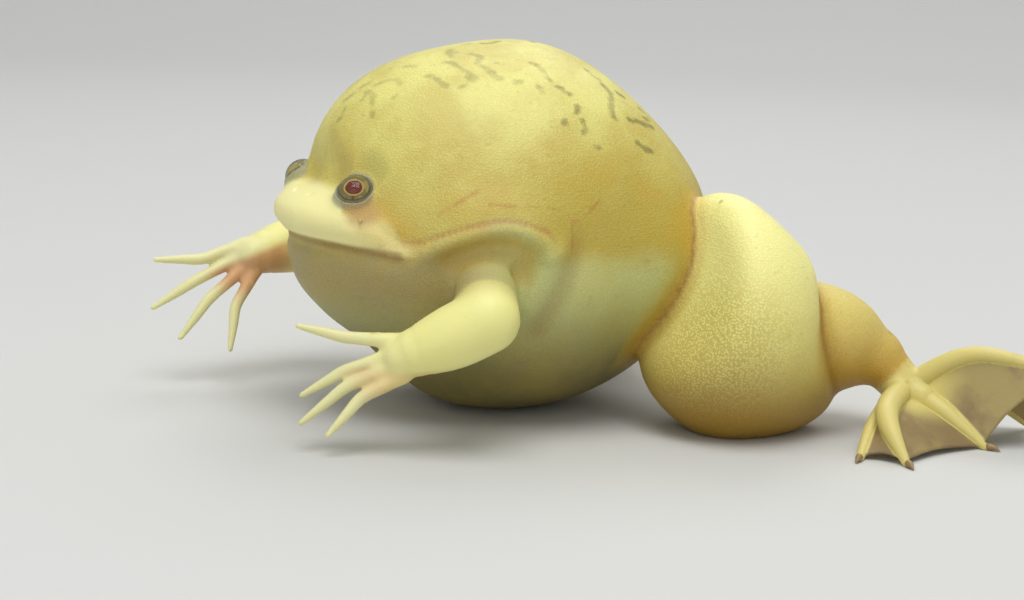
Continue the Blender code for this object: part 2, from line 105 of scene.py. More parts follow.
# Arms: the stops run from inside the shoulder to the wrist, and each finger from the palm to its tip.
ARMS = {
    LEFT: {
        "shoulder": (-20.0, -29.0, 40.0),
        "elbow": (-27.2, -45.6, 29.9),
        "forearm": (-34.0, -42.2, 25.8),
        "wrist": (-43.0, -37.5, 21.1),
        "palm": (-48.2, -35.0, 19.4),
        "fingers": [
            [(-53.2, -29.4, 24.6), (-61.8, -24.0, 26.4)],
            [(-53.6, -31.2, 17.5), (-61.7, -27.0, 11.8)],
            [(-54.0, -33.0, 14.4), (-63.0, -30.0, 6.4)],
            [(-51.8, -36.0, 12.4), (-59.2, -36.0, 4.9)],
        ],
    },
    RIGHT: {
        "shoulder": (-20.0, 29.0, 40.0),
        "elbow": (-26.6, 45.2, 33.3),
        "forearm": (-37.0, 43.4, 32.4),
        "wrist": (-48.2, 40.4, 30.9),
        "palm": (-53.4, 39.8, 28.3),
        "fingers": [
            [(-60.6, 42.6, 29.9), (-71.6, 45.0, 29.7)],
            [(-63.2, 41.6, 24.4), (-72.6, 43.0, 18.3)],
            [(-59.8, 39.2, 20.5), (-67.4, 38.0, 11.5)],
            [(-53.8, 36.6, 19.0), (-56.4, 33.0, 9.0)],
        ],
    },
}

# Hind legs: the thigh is a swollen bulb, the shank a short fat cone, and the foot a spread web.
THIGH_CENTRE = (36.8, 42.5, 27.0)
THIGH_SIZE = (20.2, 23.0, 29.0)
SHANK = [
    ((46, 44.0, 23.5), 13.4), ((60, 46.5, 21.0), 13.1), ((67, 49.0, 19.3), 11.1), ((72, 52.0, 17.4), 7.1),
]
ANKLE = (74.2, 53.6, 15.4)
HEEL = (76.8, 57.5, 11.2)
TOES = [
    [(60.5, 68.0, 5.6), (51.6, 75.4, 0.7)],
    [(60.8, 72.0, 8.8), (58.4, 83.0, 0.7)],
    [(80.4, 67.8, 7.2), (85.6, 77.0, 0.7)],
    [(87.6, 69.5, 20.6), (102.5, 86.0, 17.8)],
    [(93.0, 60.5, 11.0), (110.0, 66.0, 0.7)],
]

# Dark marks on the left half of the back. Each has half its width in millimetres, then its stops as
# longitude and latitude on the ball, in degrees.
BACK_MARKS = [
    (0.75, [(208, 53), (214, 52), (219, 50)]),
    (0.70, [(207, 60), (212, 61), (219, 59), (225, 57), (229, 55)]),
    (0.95, [(227, 55), (230, 54)]),
    (0.45, [(200, 65), (198, 67), (203, 68), (215, 68)]),
    (0.80, [(215, 68), (223, 67), (227, 62), (232, 61)]),
    (0.95, [(235, 59), (238, 57), (241, 56)]),
    (0.60, [(237, 64), (240, 64)]),
    (0.90, [(248, 55), (250, 55)]),
    (0.60, [(257, 65), (261, 64), (263, 61), (264, 58), (265, 56)]),
    (0.60, [(258, 53), (259, 51), (259, 50)]),
    (0.70, [(179, 75), (185, 77)]),
    (0.80, [(191, 55), (194, 56)]),
    (0.40, [(188, 62), (190, 63)]),
    (0.35, [(204, 58), (206, 59)]),
    (0.45, [(227, 52), (225, 50)]),
    (0.80, [(267, 53), (269, 52), (271, 50)]),
    (0.80, [(272, 45), (271, 43)]),
    (0.85, [(265, 40), (265, 39)]),
    (0.60, [(272, 40), (272, 38), (271, 36)]),
    (0.85, [(294, 54), (294, 51), (290, 47), (287, 44), (286, 41)]),
    (0.70, [(295, 62), (294, 59), (296, 57)]),
    (0.70, [(300, 51), (303, 49)]),
    (0.75, [(293, 40), (298, 39), (302, 38), (307, 37)]),
    (0.60, [(305, 41), (308, 40)]),
    (0.75, [(291, 32), (293, 30), (296, 29)]),
    (0.60, [(274, 31), (275, 31)]),
    (0.40, [(260, 39), (260, 38)]),
    (0.50, [(309, 45), (311, 43), (310, 40)]),
    (0.60, [(189, 46), (192, 48), (196, 49), (200, 48)]),
    (0.90, [(188, 43), (193, 42), (195, 40)]),
    (0.40, [(189, 40), (189, 41)]),
    (0.80, [(177, 39), (179, 40), (180, 41)]),
    (0.50, [(181, 44), (183, 46)]),
    (0.50, [(182, 37), (183, 36)]),
    (0.70, [(183, 33), (184, 34)]),
    (0.60, [(198, 37), (199, 36)]),
    (0.40, [(194, 36), (195, 36)]),
    (0.60, [(191, 56), (196, 56)]),
    (0.45, [(203, 44), (202, 43)]),
    (0.60, [(176, 56), (178, 57)]),
    (0.60, [(320, 38), (326, 34)]),
    (0.70, [(330, 50), (336, 47)]),
    (0.60, [(345, 40), (349, 37)]),
]

# Marks strewn along the middle of the back, which the photograph hides.
CROWN_MARKS = 9
MARK_SEED = 7

# Dark flecks on the hind legs, as points on the left side.
LEG_FLECKS = [
    (30.6, -45.3, 54.3),
    (33.4, -46.0, 54.0),
    (61.2, -47.8, 32.5),
    (63.8, -51.0, 31.1),
    (66.0, -50.0, 31.0),
    (70.2, -56.0, 26.2),
    (72.0, -55.8, 25.0),
    (73.6, -55.4, 23.6),
]

# Forms of the flank, as points on the left side: the fold over the shoulder with its crest and the hollow
# below it, the swelling behind the armpit and the furrow behind that, and the back edge of the pale cheek.
# FORMS gives the height of each, which is below zero for a groove, and its width.
FORMS = {
    "crest": (1.2, 2.0),
    "fold": (-0.3, 0.8),
    "hollow": (-1.2, 2.6),
    "swelling": (1.5, 3.4),
    "furrow": (-0.7, 3.0),
    "cheek": (-0.45, 1.4),
}
FORM_LINES = {
    "crest": [
        (-34.6, -30.6, 42.4), (-28.2, -36.3, 46.2), (-20.0, -40.0, 48.2), (-13.0, -41.8, 46.2),
        (-10.6, -42.0, 43.0),
    ],
    "fold": [
        (-42.7, -23.2, 42.8), (-36.2, -29.3, 44.5), (-28.2, -36.3, 48.4),
        (-19.9, -40.2, 50.0), (-11.6, -41.9, 47.6), (-9.0, -41.8, 42.6),
    ],
    "hollow": [
        (-30.3, -33.6, 41.2), (-25.0, -37.0, 43.6), (-19.5, -39.3, 44.2), (-15.6, -40.0, 42.4),
        (-16.4, -38.6, 38.5),
    ],
    "swelling": [(-8.2, -42.0, 43.0), (-11.5, -40.6, 37.4), (-14.0, -38.8, 31.0)],
    "furrow": [(-4.7, -42.4, 44.1), (-6.9, -42.3, 35.9), (-8.7, -40.9, 31.1), (-10.9, -37.7, 25.2)],
    "cheek": [(-48.4, -19.9, 47.6), (-44.4, -22.6, 47.8), (-41.6, -25.0, 45.6), (-39.6, -26.4, 43.4)],
}

# The pale snout: the heights of its upper edge and of the lip, each after its distance from the middle.
SNOUT_TOP = [
    (0, 54.2), (6, 53.9), (10, 53.6), (14.5, 53.4), (16.6, 52.3), (17.6, 49.9), (19, 49.3),
    (20.3, 49.0), (22.3, 48.9), (23.6, 48.4), (24.9, 47.2), (25.6, 45.7), (26.3, 44.1),
]
SNOUT_LIP = [(0, 42.4), (15, 42.3), (21.4, 41.5), (24.3, 41.2), (26, 41.0)]

# Fine veins on the flank.
VEINS = [
    [(-23.4, -37.4, 53.6), (-16.3, -40, 53.3), (-8.3, -41.2, 52.6), (-5.5, -42, 49.4), (-5.6, -42.3, 43.2)],
    [(-5.5, -42.0, 49.4), (-1.6, -42.4, 52.0), (2.0, -42.2, 55.0)],
    [(-3.0, -42.4, 48.0), (1.4, -42.6, 44.0), (8.0, -42.4, 41.4), (16.0, -41.4, 40.2)],
    [(-33.0, -32.4, 51.0), (-29.0, -35.2, 54.6), (-26.0, -37.0, 57.0)],
]

CAMERA_AZIMUTH = math.radians(-28.0)
CAMERA_HEIGHT = math.radians(10.5)
CAMERA_ROLL = math.radians(2.5)
CAMERA_LENS = 70.9
CAMERA_AIM = (0.604, -4.136, 25.428)

# Studio: each light has its name, its place and size in metres, and its power in watts. The floor is level
# up to FLOOR_LEVEL from the middle, and then rises towards its edge at FLOOR_HALF.
LIGHTS = (
    ("key", (-0.2, -0.4, 1.4), 0.9, 12.0),
    ("fill", (-1.0, -1.2, 0.7), 1.2, 4.4),
    ("rim", (0.7, 0.8, 1.2), 0.8, 6.0),
)
LIGHT_AIM = (0, 0, 0.04)
SKY = {"Color": (0.92, 0.94, 0.96, 1.0), "Strength": 0.60}
FLOOR_FINISH = {"Base Color": (0.62, 0.62, 0.60, 1.0), "Roughness": 0.9}
FLOOR_HALF, FLOOR_LEVEL, FLOOR_RISE = 3.0, 1.1, 0.55

FLESH_NODES = ["torso", "head"] + [
    f"{part}_{word}"
    for word in SIDES
    for part in ("upper_arm", "forearm", "hand", "thigh", "shank", "foot")
]


def frame_origin():
    """Where the belly point of the millimetre sizes lies in the frame: the two eyes give it."""
    middle = Vector((0, 0, 0))
    for word in SIDES:
        low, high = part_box(f"eye_{word}")
        middle += (Vector(low) + Vector(high)) / 4
    return middle - Vector((EYE_CENTRE[0], 0, EYE_CENTRE[2])) * MM


ORIGIN = frame_origin()


def side_of(point, side):
    """A point given for the right side, or its mirror image on the left one."""
    return Vector((point[0], side * abs(point[1]), point[2]))


def eye_axis(side):
    return side_of(EYE_LOOK, side).normalized()


def object_from(shape, name):
    mesh = bpy.data.meshes.new(name)
    shape.to_mesh(mesh)
    shape.free()
    made = bpy.data.objects.new(name, mesh)
    bpy.context.scene.collection.objects.link(made)
    return made


def applied(thing):
    """The object's mesh with its modifiers applied, as a bmesh. The object is then removed."""
    bpy.context.view_layer.update()
    graph = bpy.context.evaluated_depsgraph_get()
    mesh = bpy.data.meshes.new_from_object(thing.evaluated_get(graph))
    shape = bmesh.new()
    shape.from_mesh(mesh)
    bpy.data.objects.remove(thing, do_unlink=True)
    bpy.data.meshes.remove(mesh)
    return shape


def joined(shapes):
    """Several shapes in one bmesh, still overlapping."""
    whole = bmesh.new()
    for shape in shapes:
        mesh = bpy.data.meshes.new("joined")
        shape.to_mesh(mesh)
        shape.free()
        whole.from_mesh(mesh)
        bpy.data.meshes.remove(mesh)
    return whole


def remeshed(shape, voxel):
    """One closed surface round all that overlaps in the shape."""
    thing = object_from(shape, "remeshed")
    change = thing.modifiers.new("voxels", "REMESH")
    change.mode = "VOXEL"
    change.voxel_size = voxel * MM
    return applied(thing)


def united(shapes):
    """The shapes fused into one closed surface by a Boolean."""
    body = object_from(shapes[0], "body")
    group = bpy.data.collections.new("pieces")
    bpy.context.scene.collection.children.link(group)
    helpers = []
    for shape in shapes[1:]:
        helper = object_from(shape, "helper")
        bpy.context.scene.collection.objects.unlink(helper)
        group.objects.link(helper)
        helpers.append(helper)
    change = body.modifiers.new("union", "BOOLEAN")
    change.operand_type = "COLLECTION"
    change.collection = group
    change.operation = "UNION"
    change.solver = "MANIFOLD"
    shape = applied(body)
    for helper in helpers:
        bpy.data.objects.remove(helper, do_unlink=True)
    bpy.data.collections.remove(group)
    bmesh.ops.remove_doubles(shape, verts=shape.verts, dist=WELD * MM)
    return shape


def ellipsoid(centre, size, subdivisions=4, turn=None):
    shape = bmesh.new()
    bmesh.ops.create_icosphere(shape, subdivisions=subdivisions, radius=1.0)
    place = Matrix.Translation(Vector(centre) * MM)
    if turn:
        place @= turn.to_4x4()
    place @= Matrix.Diagonal((*[s * MM for s in size], 1.0))
    bmesh.ops.transform(shape, matrix=place, verts=shape.verts)
    return shape


def swell(shape, centre, reach, push):
    """Moves the surface near the centre by up to the push, fading smoothly to nothing at the reach."""
    middle = Vector(centre) * MM
    for vert in shape.verts:
        away = vert.co - middle
        share = sum((part / (far * MM)) ** 2 for part, far in zip(away, reach))
        if share < 1:
            vert.co += Vector(push) * MM * (1 - share) ** 2
    return shape


def smooth_path(stops, steps):
    """Points along a smooth curve through the stops, each a point followed by its radius."""
    padded = [stops[0], *stops, stops[-1]]
    path = []
    for i in range(1, len(padded) - 2):
        before, start, end, after = [Vector(stop) for stop in padded[i - 1 : i + 3]]
        for step in range(steps):
            t = step / steps
            bend = (end - before) * t + (2 * before - 5 * start + 4 * end - after) * t**2
            path.append((2 * start + bend + (3 * start - before - 3 * end + after) * t**3) / 2)
    path.append(Vector(stops[-1]))
    return path


def limb(stops, steps=8, roundness=6):
    """A closed tube through the stops (point, radius), with both ends rounded."""
    path = smooth_path([(*stop[0], stop[1]) for stop in stops], steps)
    rows = [(Vector(row[:3]), row[3]) for row in path]

    def dome(end, inner):
        """Rows that round off an end: they reach past it by its own radius."""
        point, radius = end
        outward = (point - inner[0]).normalized()
        return [
            (point + outward * radius * math.sin(turn), radius * max(math.cos(turn), 0.04))
            for turn in map(math.radians, (20, 40, 58, 75, 90))
        ]

    rows = dome(rows[0], rows[1])[::-1] + rows + dome(rows[-1], rows[-2])
    curve = bpy.data.curves.new("tube", "CURVE")
    curve.dimensions = "3D"
    curve.bevel_depth = 1.0
    curve.bevel_resolution = roundness
    curve.use_fill_caps = True
    line = curve.splines.new("POLY")
    line.points.add(len(rows) - 1)
    for spot, (point, radius) in zip(line.points, rows):
        spot.co = (*(point * MM), 1.0)
        spot.radius = radius * MM
    tube = bpy.data.objects.new("tube", curve)
    bpy.context.scene.collection.objects.link(tube)
    shape = applied(tube)
    bpy.data.curves.remove(curve)
    bmesh.ops.remove_doubles(shape, verts=shape.verts, dist=0.00001)
    bmesh.ops.recalc_face_normals(shape, faces=shape.faces)
    return shape


def ball():
    """The swollen trunk: fuller over the forehead and at the throat, and flatter over the rump."""
    shape = ellipsoid(BALL_CENTRE, BALL_SIZE, 7)
    swell(shape, (-40, 0, 76), (34, 46, 30), (-3.0, 0, 2.0))
    swell(shape, (44, 0, 78), (44, 54, 36), (-3.3, 0, -4.1))
    swell(shape, (-50, 0, 39), (30, 36, 16), (-3.6, 0, 0))
    swell(shape, (-54, 0, 60), (13, 13, 11), (3.0, 0, -0.6))
    swell(shape, (-42, 0, 10), (30, 44, 24), (3.6, 0, 2.6))
    swell(shape, (-44, 0, 24), (20, 40, 15), (-1.7, 0, -0.9))
    swell(shape, (34, 0, 22), (36, 50, 30), (1.0, 0, 0.6))
    for side in BOTH:
        swell(shape, (-51, side * 8, 56), (10, 9, 10), (2.6, 0, -0.8))
        swell(shape, (-24, side * 38, 49), (24, 18, 11), (0, side * 2.0, 0))
        swell(shape, (-22, side * 40, 38), (15, 16, 11), (0, side * -2.2, 0))
        swell(shape, (0, side * 42, 30), (14, 16, 16), (0, side * 2.0, 0))
        swell(shape, (26, side * 36, 40), (20, 18, 26), (2.0, side * 4.0, 0))
    return shape


def upper_jaw():
    """The broad flat snout: it slopes down to a blunt upper lip that overhangs the mouth."""
    shape = bmesh.new()
    bmesh.ops.create_icosphere(shape, subdivisions=6, radius=1.0)
    for vert in shape.verts:
        x, y, z = vert.co
        tall = SNOUT_ABOVE * z**0.9 if z > 0 else -SNOUT_BELOW * abs(z) ** 0.6
        vert.co = (Vector((x * SNOUT_SIZE[0], y * SNOUT_SIZE[1], tall)) + Vector(SNOUT_CENTRE)) * MM
    for side in BOTH:
        swell(shape, (-37, side * 24, 44), (18, 15, 12), (0, 0, -2.0))
    return shape


def eye_seat(side):
    """The low mound of skin that each eye sits in."""
    centre = side_of(EYE_CENTRE, side) - eye_axis(side) * 1.0
    return ellipsoid(centre, (5.0, 5.0, 4.7))


def arm(side):
    """Upper arm and forearm."""
    shoulder, elbow, forearm, wrist = [
        Vector(ARMS[side][stop]) for stop in ("shoulder", "elbow", "forearm", "wrist")
    ]
    upper = [(shoulder, SHOULDER), (shoulder.lerp(elbow, 0.6), SHOULDER), (elbow, ELBOW)]
    lower = [(elbow, ELBOW), (forearm, FOREARM), (wrist.lerp(forearm, 0.2), WRIST)]
    return [limb(upper), limb(lower)]


def palm_turn(parts):
    """Turns the palm so that it lies along the hand and across the spread of the fingers."""
    along = (Vector(parts["fingers"][1][0]) - Vector(parts["wrist"])).normalized()
    spread = Vector(parts["fingers"][0][0]) - Vector(parts["fingers"][3][0])
    spread = (spread - along * spread.dot(along)).normalized()
    return Matrix((along, spread, along.cross(spread))).transposed()


def hand(side):
    """The palm and four slim fingers, in one fine skin with the end of the forearm."""
    parts = ARMS[side]
    wrist, palm, forearm = [Vector(parts[stop]) for stop in ("wrist", "palm", "forearm")]
    turn = palm_turn(parts)
    centre = wrist.lerp(palm, 0.12)
    cuff = [(wrist.lerp(forearm, 0.4), WRIST * 1.03), (wrist.lerp(forearm, 0.2), WRIST), (wrist, WRIST_FRONT)]
    shapes = [ellipsoid(centre, PALM_SIZES[side], 4, turn), limb(cuff)]
    for number, (middle, tip) in enumerate(parts["fingers"]):
        middle, tip = Vector(middle), Vector(tip)
        root = centre + turn.col[1] * (1.5 - number) * FINGER_SPACING[side]
        places = (root, root.lerp(middle, 0.6), middle, middle.lerp(tip, 0.45), tip)
        shapes.append(limb(list(zip(places, FINGER_RADII)), 5))
    fine = remeshed(joined(shapes), FINE_VOXEL)
    relax(fine, 1)
    return fine


def thigh(side):
    """The swollen bulb of the thigh."""
    shape = ellipsoid(side_of(THIGH_CENTRE, side), THIGH_SIZE, 6)
    swell(shape, side_of((55, 46, 5), side), (24, 36, 24), (12.5, 0, -2.0))
    swell(shape, side_of((52, 44, 56), side), (24, 34, 20), (-4.0, 0, -1.6))
    swell(shape, side_of((58, 46, 32), side), (16, 34, 18), (-1.8, 0, 0))
    swell(shape, side_of((18, 42, 10), side), (18, 30, 16), (-2.4, 0, 0.8))
    swell(shape, side_of((16, 46, 38), side), (20, 28, 30), (9.0, 0, 0))
    return shape


def shank(side):
    """The short fat cone of the shank."""
    return limb([(side_of(point, side), radius) for point, radius in SHANK], 8, 14)


def toe_line(side, number):
    middle, tip = [side_of(point, side) for point in TOES[number]]
    heel = side_of(HEEL, side)
    return [heel.lerp(middle, 0.12), middle, tip]


def toe_stops(side, number):
    """The toe's stops, each with its radius."""
    return list(zip(toe_line(side, number), (TOE_ROOT, TOE_MIDDLES[number], TOE_TIP)))


def toe(side, number):
    return limb(toe_stops(side, number), 10, 5)


def web(side, number, across=22, along=32):
    """The thin skin between two toes, hollowed at its free edge."""
    near = smooth_path([(*p, 0) for p in toe_line(side, number)], along)
    far = smooth_path([(*p, 0) for p in toe_line(side, number + 1)], along)

    def line_at(path, share):
        spot = min(share, 0.9999) * (len(path) - 1)
        first = int(spot)
        return path[first].lerp(path[first + 1], spot - first).to_3d()

    shape = bmesh.new()
    bmesh.ops.create_grid(shape, x_segments=along, y_segments=across, size=0.5)
    for vert in shape.verts:
        out, over = vert.co.x + 0.5, vert.co.y + 0.5
        reach = out * (0.95 - 0.09 * math.sin(math.pi * over))
        point = line_at(near, reach).lerp(line_at(far, reach), over)
        sag = 0.9 * math.sin(math.pi * over) * math.sin(math.pi * min(out, 0.8))
        vert.co = (point - Vector((0, 0, sag))) * MM
    bmesh.ops.recalc_face_normals(shape, faces=shape.faces)
    shape.normal_update()
    bmesh.ops.solidify(shape, geom=list(shape.faces), thickness=WEB_THICKNESS * MM)
    bmesh.ops.recalc_face_normals(shape, faces=shape.faces)
    return shape


def foot(side):
    """The instep, five toes and the webs between them."""
    ankle, heel = side_of(ANKLE, side), side_of(HEEL, side)
    instep = limb(
        [
            (ankle.lerp(heel, -0.4), 6.0),
            (heel, 5.2),
            (heel.lerp(side_of(TOES[2][0], side), 0.45), 3.6),
        ]
    )
    pieces = [instep] + [toe(side, number) for number in range(len(TOES))]
    pieces += [web(side, number) for number in range(len(TOES) - 1)]
    whole = united(pieces)
    long = [edge for edge in whole.edges if edge.calc_length() > LONG_EDGE * MM]
    bmesh.ops.subdivide_edges(whole, edges=long, cuts=1)
    bmesh.ops.triangulate(whole, faces=whole.faces)
    return whole


def claw(side, number, length):
    """A short horny cone on the tip of one of the three inner toes, bent a little towards the floor."""
    middle, tip = [side_of(point, side) for point in TOES[number]]
    ahead = tip - middle
    ahead.z = 0
    ahead.normalize()
    root = tip + ahead * (TOE_TIP + 0.1)
    root.z = TOE_TIP
    end = root + ahead * length
    end.z = 0.3
    bend = root.lerp(end, 0.5) + Vector((0, 0, 0.25))
    return limb([(root, 0.85), (bend, 0.6), (end, 0.15)], 6, 5)


def creases(shape):
    """The numbers of the vertices that lie in narrow folds, and of their neighbours."""
    shape.verts.index_update()
    shape.normal_update()
    found = set()
    for edge in shape.edges:
        if len(edge.link_faces) == 2 and edge.calc_face_angle_signed() < CREASE_ANGLE:
            for vert in edge.verts:
                found.add(vert.index)
                found.update(link.other_vert(vert).index for link in vert.link_edges)
    return found


def feeler(side):
    """The short soft tentacle below an eye."""
    root = side_of((-46.0, 19.6, 48.4), side)
    return limb([(root, 0.8), (root + side_of((-1.2, 2.7, -0.2), side), 0.4)], 5, 3)


def relax(shape, times, near=None):
    """Smooths the vertices that the test picks or that have the given numbers, or else all of them."""
    picked = list(shape.verts)
    if isinstance(near, set):
        picked = [picked[index] for index in near]
    elif near:
        picked = [vert for vert in picked if near(vert.co / MM)]
    for _ in range(times):
        bmesh.ops.smooth_vert(
            shape, verts=picked, factor=0.5, use_axis_x=True, use_axis_y=True, use_axis_z=True
        )


def refined(shape, middle, reach):
    """Halves the edges within the reach, for features smaller than the remesh."""
    centre = Vector(middle) * MM
    near = {vert for vert in shape.verts if (vert.co - centre).length < reach * MM}
    edges = [edge for edge in shape.edges if near.issuperset(edge.verts)]
    bmesh.ops.subdivide_edges(shape, edges=edges, cuts=1, use_grid_fill=True)


def flattened(shape):
    """Presses what would reach below the floor flat onto it."""
    for vert in shape.verts:
        vert.co.z = max(vert.co.z, 0.0)


def between(value, low, high):
    """0 below the low value, 1 above the high one, and a smooth rise between them."""
    share = np.clip((value - low) / (high - low), 0, 1)
    return share * share * (3 - 2 * share)


def distance_to(points, line, reach=10.0):
    """Each point's distance to a line of samples, up to the reach."""
    best = np.full(len(points), float(reach))
    samples = np.array([tuple(p)[:3] for p in line])
    low, high = samples.min(0) - reach, samples.max(0) + reach
    near = np.where(((points > low) & (points < high)).all(1))[0]
    for part in np.array_split(near, max(1, len(near) // 4000)):
        gaps = points[part][:, None, :] - samples[None, :, :]
        best[part] = np.minimum(np.sqrt((gaps**2).sum(2).min(1)), reach)
    return best


def gap_to(points, shape):
    """Each point's distance to the surface of one of the parts that the skin was made of."""
    tree = BVHTree.FromBMesh(shape)
    box = np.array([vert.co for vert in shape.verts]) / MM
    low, high = box.min(0) - 4, box.max(0) + 4
    gaps = np.full(len(points), FAR)
    for index in np.where(((points > low) & (points < high)).all(1))[0]:
        gaps[index] = tree.find_nearest(Vector(points[index]) * MM)[3] / MM
    shape.free()
    return gaps


class Surface:
    """The skin's vertices as arrays in millimetres, with sculpting moves along their normals."""

    def __init__(self, shape):
        self.shape = shape
        shape.normal_update()
        self.points = np.array([vert.co for vert in shape.verts]) / MM
        self.normals = np.array([vert.normal for vert in shape.verts])

    def raise_along(self, line, height, width):
        """A soft ridge, or with a height below zero a groove, along the line."""
        share = np.exp(-((distance_to(self.points, line) / width) ** 2))
        self.points += self.normals * (share * height)[:, None]

    def write_back(self):
        for vert, point in zip(self.shape.verts, self.points):
            vert.co = Vector(point) * MM


def on_surface(tree, start, toward):
    """Where a ray from inside the body leaves it, in millimetres."""
    begin = Vector(start)
    ray = (Vector(toward) - begin).normalized()
    hit = tree.ray_cast(begin * MM, ray)[0]
    return hit / MM if hit else Vector(toward)


def traced(tree, stops, side, steps=8):
    """A smooth line on the skin over the stops, found from inside the body."""
    path = smooth_path([(*side_of(stop, side), 0) for stop in stops], steps)
    return [on_surface(tree, (point.x * 0.6, 0, 43), point.to_3d()) for point in path]


def mouth_line(tree):
    """The line where the lips meet."""
    line = []
    for step in range(-60, 61):
        turn = MOUTH_SPREAD * step / 60
        height = MOUTH_HEIGHT - MOUTH_CORNER_DROP * (step / 60) ** 2
        outward = Vector((-math.cos(turn), math.sin(turn), 0))
        start = Vector((-28, 0, height))
        line.append(on_surface(tree, start, start + outward))
    return line


def skin_shape():
    """Trunk, head and legs in one skin, with the finer hands and feet fused on."""
    pieces = [ball(), upper_jaw()]
    for side in BOTH:
        pieces += [eye_seat(side), thigh(side), shank(side), *arm(side)]
    body = remeshed(joined(pieces), BODY_VOXEL)
    relax(body, 1)
    relax(body, 5, creases(body))
    relax(body, 1)
    relax(body, 2, lambda p: p.x < -33 and 44.5 < p.z < 66)
    relax(body, 16, lambda p: 24 < p.x < 46 and abs(p.y) > 44 and 32 < p.z < 53)
    refined(body, FACE_CENTRE, 27)
    for side in BOTH:
        refined(body, side_of(EYE_CENTRE, side), 8)
        refined(body, (-21, side * 40, 44), 15)
    relax(body, 1, lambda p: (p - Vector(FACE_CENTRE)).length < 26)
    skin = united([body, *[build(side) for build in (feeler, hand, foot) for side in BOTH]])
    for side in BOTH:
        wrist, ankle = Vector(ARMS[side]["wrist"]), side_of(ANKLE, side)
        relax(skin, 11, lambda p: (p - wrist).length < 7.5)
        relax(skin, 8, lambda p: (p - ankle).length < 8)
    return skin


def sculpt(skin):
    """The fine forms of the head and shoulders. Gives each point's distance to the lines that are painted."""
    tree = BVHTree.FromBMesh(skin)
    surface = Surface(skin)
    lips = mouth_line(tree)
    for rise, height, width in ((1.6, 0.5, 1.4), (-1.5, -0.5, 1.5), (0, -0.6, 0.5)):
        surface.raise_along([point + Vector((0, 0, rise)) for point in lips], height, width)
    lines = {name: [] for name in FORMS} | {"lip": [lips], "vein": []}
    for side in BOTH:
        for name, (height, width) in FORMS.items():
            line = traced(tree, FORM_LINES[name], side)
            surface.raise_along(line, height, width)
            lines[name].append(line)
        lines["vein"] += [traced(tree, vein, side) for vein in VEINS]
        seat_eye(surface, side)
        pinch_nostril(surface, tree, side)
    surface.write_back()
    deepest = [point for line in lines["hollow"] + lines["furrow"] for point in line]
    relax(skin, 3, set(np.where(distance_to(surface.points, deepest) < 4.0)[0].tolist()))
    points = Surface(skin).points
    gaps = [distance_to(points, line) - width for width, line in back_marks(tree)]
    painted = {"mark_distance": np.minimum.reduce(gaps)}
    for name in ("cheek", "fold", "furrow", "hollow", "lip", "vein"):
        painted[f"{name}_distance"] = np.minimum.reduce([distance_to(points, line) for line in lines[name]])
    return painted


def seat_eye(surface, side):
    """A thin raised rim of skin round the eye, and a hollow for the eyeball."""
    axis = np.array(eye_axis(side))
    offset = surface.points - np.array(side_of(EYE_CENTRE, side))
    ahead = offset @ axis
    off_axis = np.linalg.norm(offset - ahead[:, None] * axis, axis=1)
    front = between(ahead, -2.5, -1.0)
    rim = np.exp(-(((off_axis - EYE_RIM) / 0.4) ** 2)) * front
    surface.points += surface.normals * (rim * 0.18)[:, None]
    wall = np.maximum(ahead - 1.9 - 0.7 * np.maximum(off_axis - EYE_PIT, 0), 0)
    wall *= between(off_axis, 9.0, 5.0)
    pit = between(off_axis, EYE_PIT, 3.55) * PIT_DEPTH
    surface.points -= axis[None, :] * ((wall + pit) * front)[:, None]


def pinch_nostril(surface, tree, side):
    """A small slanting slit near the tip of the snout."""
    spot = np.array(on_surface(tree, (-51.5, side * 4.2, 48), (-52.0, side * 4.2, 60)))
    turn = side * math.radians(35)
    along = np.array((math.cos(turn), math.sin(turn), 0))
    offset = surface.points - spot
    length = offset @ along
    across = np.sqrt(np.maximum((offset**2).sum(1) - length**2, 0))
    share = np.exp(-((length / 0.9) ** 2) - (across / 0.4) ** 2)
    rim = np.exp(-((length / 1.3) ** 2) - ((across - 0.8) / 0.4) ** 2)
    surface.points += surface.normals * (0.18 * rim - 0.9 * share)[:, None]


def on_ball(tree, longitude, latitude):
    """The point of the skin that lies there as seen from the middle of the ball, in degrees."""
    turn, height = math.radians(longitude), math.radians(latitude)
    flat = math.cos(height)
    outward = Vector((flat * math.cos(turn), flat * math.sin(turn), math.sin(height)))
    outward *= Vector(BALL_SIZE)
    return on_surface(tree, BALL_CENTRE, Vector(BALL_CENTRE) + outward)


def back_marks(tree):
    """The marks seen on the left side, others like them over the right side, and flecks on the legs."""
    draw = random.Random(MARK_SEED)
    marks = []
    for width, stops in BACK_MARKS:
        shift, slant, stretch = draw.uniform(-7, 7), draw.uniform(-5, 5), draw.uniform(0.6, 1.5)
        first, level = stops[0]
        other = [
            (360 - first + shift + stretch * (first - lon), level + slant + (lat - level) / stretch)
            for lon, lat in stops
        ]
        for path in (stops, other) if max(lon for lon, lat in other) < 170 else (stops,):
            smooth = smooth_path([(lon, lat, 0) for lon, lat in path], 6)
            marks.append((width, [on_ball(tree, point.x, point.y) for point in smooth]))
    for _ in range(CROWN_MARKS):
        start = Vector((draw.uniform(-20, 22), draw.uniform(-3, 13), 0))
        bend, end = [Vector((draw.uniform(-3, 3), draw.uniform(-3, 3), 0)) for _ in range(2)]
        smooth = smooth_path([start, start + bend, start + bend + end], 6)
        line = [on_surface(tree, (p.x * 0.3, p.y * 0.3, 43), (p.x, p.y, 86)) for p in smooth]
        marks.append((draw.uniform(0.4, 0.9), line))
    marks += [(0.5, [side_of(fleck, side)]) for side in BOTH for fleck in LEG_FLECKS]
    return marks


def spacing(points, spot):
    """Each point's distance to one spot."""
    return np.linalg.norm(points - np.array(spot), axis=1)


